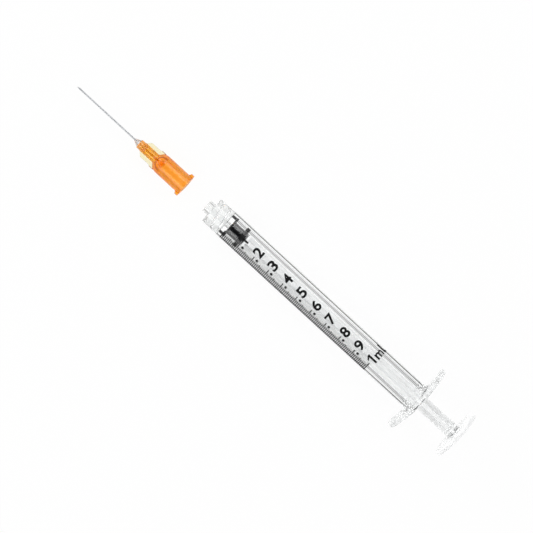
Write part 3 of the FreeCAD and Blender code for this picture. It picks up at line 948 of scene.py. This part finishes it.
def glue_surface(needle):
    """The adhesive: a plug in the well and a short cone up the tube, round the tube."""
    inner = needle.cannula_d / 2 + GLUE_PLAY
    floor, lip = needle.length - needle.well_depth + GLUE_PLAY, needle.length + GLUE_PLAY
    well_r = needle.well_d / 2 - GLUE_PLAY
    end = needle.length + needle.glue_reach
    middle = ((floor + end) / 2, inner)
    return closed_grid(lathed([
        middle, (floor, inner), (floor, well_r), (lip, well_r), (lip, needle.glue_base_d / 2, GLUE_ROUND),
        (end, needle.glue_end_d / 2), (end, inner), middle],
        even_turn(STOPPER_TURN), GLUE_SPACING)[:-1])


class SYRINGE_OT_needle(Operator):
    """Make the needle: orange hub, steel tube and clear adhesive"""
    bl_idname = "syringe.needle"
    bl_label = "Needle"

    def execute(self, context):
        barrel, needle = context.scene.syringe_barrel, context.scene.syringe_needle
        placing = needle_placing(barrel, needle)
        surface, wall = hub_surface(needle)
        piece("finned_hub", surface, placing, orange_polypropylene(needle.colour),
              "needle", "orange_polypropylene", ["needle_hub"], wall=wall)
        tube = piece("bevelled_cannula", cannula_surface(needle), placing, stainless_steel(),
                     "needle", "stainless_steel", ["needle_cannula"])
        tube.data.set_sharp_from_angle(angle=CUT_CREASE)
        piece("adhesive_cone", glue_surface(needle), placing, clear_epoxy(),
              "needle", "clear_epoxy", ["hub_adhesive"])
        return {"FINISHED"}


DIVISIONS = 100
BAR_STATIONS = 9
LINE_FROM = {1: 39 * DEGREE, 5: 33.5 * DEGREE, 10: 23 * DEGREE}
LINE_TO = 77 * DEGREE
INK_SUNK = 0.004 * MM


def on_barrel(barrel, x, around, height):
    """Points on the tube. Around is the angle from its topmost line towards the picture's lower left."""
    angle = math.pi / 2 - around + ROLL
    radius = barrel.outside / 2 - INK_SUNK + height
    return np.stack(np.broadcast_arrays(x, radius * np.cos(angle), radius * np.sin(angle)), axis=-1)


def scale_lines(barrel, ink):
    """The graduation lines: bars bent round the tube, from a start that depends on their rank to one end."""
    number = np.arange(DIVISIONS + 1)
    rank = np.where(number % 10 == 0, 10, np.where(number % 5 == 0, 5, 1))
    start = np.select([rank == key for key in LINE_FROM], list(LINE_FROM.values()))
    around = start[:, None] + (LINE_TO - start[:, None]) * np.linspace(0, 1, BAR_STATIONS)
    corners = np.array([(-1, 0), (1, 0), (1, 1), (-1, 1)])
    x = -number[:, None, None] * barrel.scale_length / DIVISIONS + corners[:, 0] * ink.line / 2
    return swept_bars(on_barrel(barrel, x, around[:, :, None], corners[:, 1] * (ink.film + INK_SUNK)))


# Cuts across a glyph that let it bend, its outline's offset and steps, and the distance that welds points.
GLYPH_CUTS = 7
GLYPH_BOLD = 0.028
GLYPH_STEPS = 5
GLYPH_WELD = 1e-5


def glyph(character, width, height, film):
    """A character as a flat solid, cut into strips so that it can bend. Its middle is at the origin."""
    curve = bpy.data.curves.new("glyph", "FONT")
    curve.body, curve.offset, curve.extrude, curve.resolution_u = character, GLYPH_BOLD, 0.5, GLYPH_STEPS
    holder = placed("glyph", curve)
    mesh = bpy.data.meshes.new_from_object(holder.evaluated_get(bpy.context.evaluated_depsgraph_get()))
    work = bmesh.new()
    work.from_mesh(mesh)
    bmesh.ops.remove_doubles(work, verts=work.verts[:], dist=GLYPH_WELD)
    points = np.array([vertex.co for vertex in work.verts])
    low, high = points.min(axis=0), points.max(axis=0)
    for cut in np.linspace(low[0], high[0], GLYPH_CUTS + 2)[1:-1]:
        bmesh.ops.bisect_plane(work, geom=work.verts[:] + work.edges[:] + work.faces[:],
                               plane_co=(cut, 0, 0), plane_no=(1, 0, 0))
    points = np.array([vertex.co for vertex in work.verts])
    faces = [[corner.index for corner in face.verts] for face in work.faces]
    work.free()
    bpy.data.objects.remove(holder)
    bpy.data.curves.remove(curve)
    bpy.data.meshes.remove(mesh)
    shares = (points - low) / (high - low)
    return (shares - np.array([0.5, 0.5, 0])) * np.array([width, height, film]), faces


# The flag of the figure 1: its reach in strokes, and above the figure's middle the heights of its tip's two
# corners and of its lower root, as shares of the figure's height.
FLAG_REACH = 1.5
FLAG_TIP = (0.26, 0.09)
FLAG_ROOT = 0.3


def figure_one(stroke, height, film):
    """A plain 1 as a flat solid: an upright stem with a slanted flag at its top, in two closed prisms."""
    half = stroke / 2
    reach = -half - FLAG_REACH * stroke
    stem = [(-half, -height / 2), (half, -height / 2), (half, height / 2), (-half, height / 2)]
    flag = [(-half, height / 2), (reach, FLAG_TIP[0] * height), (reach, FLAG_TIP[1] * height),
            (-half, FLAG_ROOT * height)]
    outlines = np.array([stem, flag])[:, None]
    levels = np.array([0.0, film])[None, :, None, None]
    outlines, levels = np.broadcast_to(outlines, (2, 2, 4, 2)), np.broadcast_to(levels, (2, 2, 4, 1))
    return swept_bars(np.concatenate((outlines, levels), axis=-1))


def disc(diameter, film, rings=4, corners=24):
    """A flat round solid about the origin: rings of points in its top, down its rim and under it."""
    share = np.concatenate((np.linspace(0, 1, rings), np.linspace(1, 0, rings)))[:, None]
    turn = even_turn(corners)
    level = np.repeat([film, 0.0], rings)[:, None]
    radius = share * diameter / 2
    return capped_grid(np.stack(np.broadcast_arrays(radius * np.cos(turn), radius * np.sin(turn), level), -1))


def bent(barrel, shape, x, around):
    """A flat shape wrapped round the tube, with its top towards the needle."""
    points, faces = shape
    return on_barrel(barrel, x + points[:, 1], around - points[:, 0] / (barrel.outside / 2),
                     points[:, 2]), faces


DIGIT_AHEAD = 0.24 * MM
DIGIT_FOOT = 1.3 * MM
DIGIT_AROUND = -1.3 * DEGREE
DOT_AROUND = 28.1 * DEGREE
ONE_AROUND = 3 * DEGREE
ONE_STROKE = 0.26
# The unit's letters with their widths, their heights as shares of a digit's, and their angles round the tube.
UNIT = (("m", 2.97 * MM, 0.6, -29.8 * DEGREE), ("L", 1.6 * MM, 1.0, -65 * DEGREE))
INK_CREASE = 40 * DEGREE


class SYRINGE_OT_print(Operator):
    """Make the printed scale: graduation lines, digits, decimal dots and the unit"""
    bl_idname = "syringe.print"
    bl_label = "Printed scale"

    def execute(self, context):
        barrel, ink = context.scene.syringe_barrel, context.scene.syringe_print
        film = ink.film + INK_SUNK
        shapes = [scale_lines(barrel, ink)]
        one = figure_one(ONE_STROKE * ink.digit_width, ink.digit_height, film)
        for tenth in range(1, 10):
            x = -tenth * barrel.scale_length / 10
            digit = glyph(str(tenth), ink.digit_width, ink.digit_height, film) if tenth > 1 else one
            shapes.append(bent(barrel, digit, x, DIGIT_AROUND if tenth > 1 else 0.0))
            shapes.append(bent(barrel, disc(ink.dot, film), x - DIGIT_FOOT, DOT_AROUND))
        x = DIGIT_AHEAD - barrel.scale_length
        shapes.append(bent(barrel, one, x, ONE_AROUND))
        for letter, width, share, around in UNIT:
            height = share * ink.digit_height
            foot = x - (ink.digit_height - height) / 2
            shapes.append(bent(barrel, glyph(letter, width, height, film), foot, around))
        made = piece("printed_scale", joined(shapes), barrel_placing(barrel), black_ink(ink.colour),
                     "barrel", "clear_polypropylene")
        made.data.set_sharp_from_angle(angle=INK_CREASE)
        made.visible_shadow = False
        return {"FINISHED"}


# In photograph pixels: its side, a point on it from which the camera is aimed, how far along the axis from
# there the bore's end lies, and how far beside the point the axis runs.
PHOTO_SIDE = 533
PHOTO_START = (73.0, 78.0)
BORE_END_ALONG = 216.0
AXIS_ACROSS = 3.3
SENSOR = 36.0
CLIP = (0.01, 20.0)
FLOOR_SIDE = 6.0
# The paper's own glow to the camera, and the angles from straight up between which the room's light sets in.
PAPER_GLOW = 0.94
DARK_CAP = (18 * DEGREE, 32 * DEGREE)
# The light table's depth under the paper, the angles from straight down of its two rings' edges, and half the
# angle over which an edge fades. The rings are painted shade: seen through clear plastic, they draw its dark
# refraction lines along its edges.
TABLE_DROP = 0.3
PAINTED_RING_EDGES = [angle * DEGREE for angle in (24, 36.5, 50.5, 61)]
PAINTED_RING_SOFT = 1.5 * DEGREE
# Each lamp's place, width, height and the setting that holds its radiance.
LAMPS = {
    "lamp_left": ((0.0, 0.42, 0.42), 0.62, 0.36, "side_lamp"),
    "lamp_right": ((0.0, -0.42, 0.42), 0.62, 0.36, "side_lamp"),
    "lamp_front": ((0.75, 0.0, 0.27), 0.8, 0.4, "front_lamp"),
    "lamp_rear": ((-0.75, 0.0, 0.27), 0.8, 0.4, "rear_lamp"),
}


def floor_material(colour):
    """Matt paper floor, near white to the camera and to gloss, with the object's soft shadow on it.

    Rays that have passed the clear plastic go through the paper to the light table's face below, whose rings
    paint dark lines.
    """
    made, tree = blank_material("matt_paper_floor")
    rays = add(tree, "LightPath").outputs
    seen = add(tree, "Math", {0: rays["Is Camera Ray"], 1: rays["Is Glossy Ray"]}, operation="MAXIMUM")
    share = add(tree, "Math", {0: seen, 1: PAPER_GLOW}, operation="MULTIPLY")
    paper = add(tree, "BsdfDiffuse", {"Color": (*colour, 1)})
    glow = add(tree, "Emission", {"Color": WHITE, "Strength": 1.0})
    top = add(tree, "MixShader", {0: share, 1: paper, 2: glow})
    # Rays through clear plastic pass the paper here and see the painted dark rings below.
    window = add(tree, "BsdfTransparent", {"Color": WHITE})
    whole = add(tree, "MixShader", {0: rays["Is Transmission Ray"], 1: top, 2: window})
    add(tree, "OutputMaterial", {"Surface": whole})
    return made


def light_table_material(dark):
    """The light table's face: white, with two darker rings of painted shade that draw dark lines along clear
    things.
    """
    made, tree = blank_material("painted_rings_table_face")
    place = add(tree, "TexCoord").outputs["Object"]
    reach = add(tree, "VectorMath", {0: place}, operation="LENGTH").outputs["Value"]
    light = 1.0
    # Each ring edge steps the glow down or back up, which paints the dark rings.
    for sign, angle in zip((-1, 1, -1, 1), PAINTED_RING_EDGES):
        near, far = (TABLE_DROP * math.tan(angle + side * PAINTED_RING_SOFT) for side in (-1, 1))
        step = add(tree, "MapRange", {"Value": reach, "From Min": near, "From Max": far, "To Min": 0.0,
                                      "To Max": sign * (1.0 - dark)}, interpolation_type="SMOOTHSTEP")
        light = add(tree, "Math", {0: light, 1: step})
    add(tree, "OutputMaterial", {"Surface": add(tree, "Emission", {"Color": WHITE, "Strength": light})})
    return made


def sheet(name, height, material):
    """A large level square with its material, at the given height."""
    half = FLOOR_SIDE / 2
    corners = [(-half, -half, 0), (half, -half, 0), (half, half, 0), (-half, half, 0)]
    mesh = bpy.data.meshes.new(name)
    mesh.from_pydata(corners, [], [(0, 1, 2, 3)])
    mesh.materials.append(material)
    made = placed(name, mesh)
    made.location.z = height


def surroundings(fill):
    """The world: white behind the object, and for light a plain grey room that is dark straight above."""
    world = bpy.data.worlds.new("studio")
    bpy.context.scene.world = world
    world.use_nodes = True
    tree = world.node_tree
    tree.nodes.clear()
    direction = add(tree, "TexCoord").outputs["Generated"]
    height = add(tree, "SeparateXYZ", {0: direction}).outputs["Z"]
    room = add(tree, "MapRange", {"Value": height, "From Min": math.cos(DARK_CAP[1]),
                                  "From Max": math.cos(DARK_CAP[0]), "To Min": fill, "To Max": 0.0})
    seen = add(tree, "LightPath").outputs["Is Camera Ray"]
    strength = add(tree, "MapRange", {"Value": seen, "To Min": room, "To Max": 1.0})
    sky = add(tree, "Background", {"Color": WHITE, "Strength": strength})
    add(tree, "OutputWorld", {"Surface": sky})


def stood(name, data, place, right, up, back):
    """A lamp or camera at its place, with its own axes in the given directions."""
    made = placed(name, data)
    matrix = np.eye(4)
    matrix[:3] = np.stack((right, up, back, place), axis=1)
    made.matrix_world = Matrix(matrix.tolist())
    return made


def lamp(name, place, width, height, radiance):
    """A soft lamp turned to the origin. Its power is its radiance times pi times its area."""
    light = bpy.data.lights.new(name, "AREA")
    light.shape, light.size, light.size_y = "RECTANGLE", width, height
    light.energy = radiance * math.pi * width * height
    back = np.array(place) / np.linalg.norm(place)
    right = np.cross((0.0, 0.0, 1.0), back)
    right = right / np.linalg.norm(right)
    stood(name, light, place, right, np.cross(back, right), back)


def camera(stage, barrel):
    """The photograph's camera, square to the syringe's axis, which slants down to the right."""
    across, down = (PHOTO_SIDE / 2 - start for start in PHOTO_START)
    cos, sin = math.cos(stage.slant), math.sin(stage.slant)
    along, aside = across * cos + down * sin, down * cos - across * sin
    aim = syringe_origin(barrel) + FORWARD * (BORE_END_ALONG - along) / stage.scale * MM
    aim = aim + SIDE * (aside - AXIS_ACROSS) / stage.scale * MM
    data = bpy.data.cameras.new("camera")
    data.sensor_width = SENSOR
    data.lens = SENSOR * stage.perspective / PHOTO_SIDE
    data.clip_start, data.clip_end = CLIP
    return stood("camera", data, aim + UP * stage.perspective / stage.scale * MM,
                 -cos * FORWARD - sin * SIDE, sin * FORWARD - cos * SIDE, UP)


class SYRINGE_OT_stage(Operator):
    """Make the floor, the lamps and the camera of the photograph"""
    bl_idname = "syringe.stage"
    bl_label = "Stage"

    def execute(self, context):
        scene = context.scene
        stage = scene.syringe_stage
        sheet("floor", 0.0, floor_material(stage.colour))
        # Under the paper, a glowing sheet whose painted dark rings draw dark lines in clear plastic.
        sheet("light_table", -TABLE_DROP, light_table_material(stage.ring))
        surroundings(stage.fill)
        scene.camera = camera(stage, scene.syringe_barrel)
        for name, (place, width, height, setting) in LAMPS.items():
            lamp(name, place, width, height, getattr(stage, setting))
        scene.view_settings.view_transform = "Standard"
        return {"FINISHED"}


class SYRINGE_PT_panel(Panel):
    """Lists the syringe's pieces and their settings"""
    bl_label = "Syringe"
    bl_idname = "SYRINGE_PT_panel"
    bl_space_type = "VIEW_3D"
    bl_region_type = "UI"
    bl_category = "Syringe"

    def draw(self, context):
        for name, (group, operator) in MAKERS.items():
            box = self.layout.box()
            box.operator(operator.bl_idname)
            for setting in group.__annotations__:
                box.prop(getattr(context.scene, "syringe_" + name), setting)


# Every operator of bpy.ops.syringe in the order of making, with the settings that it reads first.
MAKERS = {
    "barrel": (BarrelSettings, SYRINGE_OT_barrel),
    "stopper": (StopperSettings, SYRINGE_OT_stopper),
    "rod": (RodSettings, SYRINGE_OT_rod),
    "needle": (NeedleSettings, SYRINGE_OT_needle),
    "print": (PrintSettings, SYRINGE_OT_print),
    "stage": (StageSettings, SYRINGE_OT_stage),
}


def register():
    for name, (group, operator) in MAKERS.items():
        bpy.utils.register_class(group)
        setattr(bpy.types.Scene, "syringe_" + name, PointerProperty(type=group))
        bpy.utils.register_class(operator)
    bpy.utils.register_class(SYRINGE_PT_panel)


def unregister():
    bpy.utils.unregister_class(SYRINGE_PT_panel)
    for name, (group, operator) in MAKERS.items():
        bpy.utils.unregister_class(operator)
        delattr(bpy.types.Scene, "syringe_" + name)
        bpy.utils.unregister_class(group)


def main():
    """Makes every piece and the stage."""
    register()
    for name in MAKERS:
        getattr(bpy.ops.syringe, name)()


if __name__ == "__main__":
    main()
